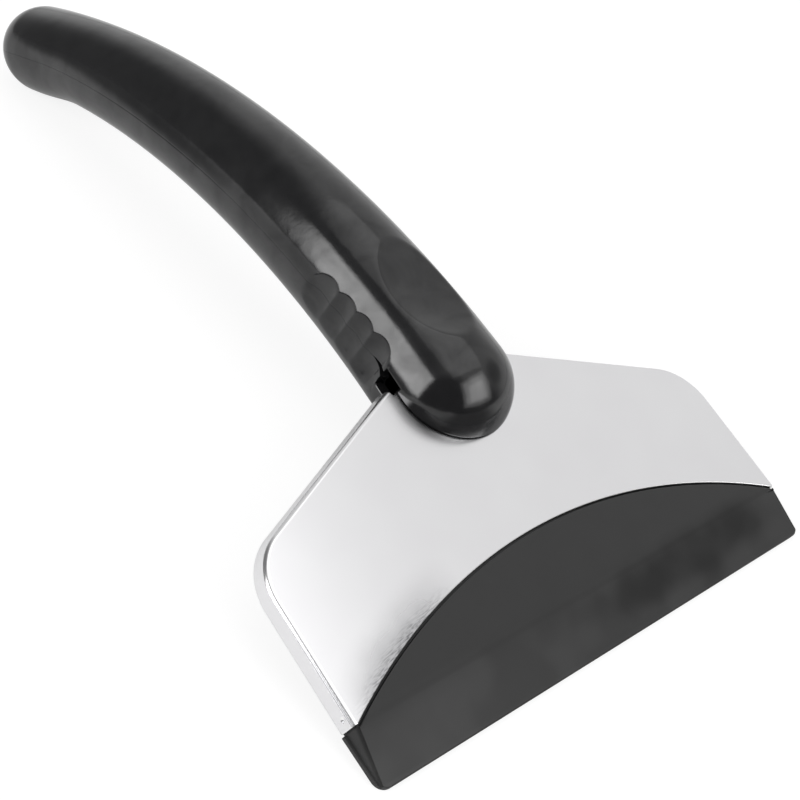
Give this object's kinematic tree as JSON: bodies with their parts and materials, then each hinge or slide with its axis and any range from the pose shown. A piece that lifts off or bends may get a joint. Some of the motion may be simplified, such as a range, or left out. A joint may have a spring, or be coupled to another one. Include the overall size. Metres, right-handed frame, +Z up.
{
  "type": "ice scraper",
  "caption": "Hand ice scraper: a pressed steel head with down-turned rims grips a wide plastic scraping blade, on an arched hollow handle with a thumb dish and finger ripples.",
  "frame": {"origin": "on the surface that the tool rests on, below the middle of its length and width", "axes": "+X along the scraping edge, +Y from the scraping edge towards the tail of the handle, +Z up"},
  "size_m": [0.1374, 0.2276, 0.0408],
  "materials": {
    "handle_plastic": "glossy moulded black",
    "head_steel": "fine satin stainless sheet",
    "blade_plastic": "matt dark grey moulding",
    "screw_steel": "bright zinc plating"
  },
  "bodies": {
    "root": {"handle_upper_shell": "handle_plastic", "handle_lower_shell": "handle_plastic", "head_plate": "head_steel", "scraper_blade": "blade_plastic", "clamp_screw_1": "screw_steel", "clamp_screw_2": "screw_steel", "grip_screw_1": "screw_steel", "grip_screw_2": "screw_steel"}
  },
  "joints": []
}
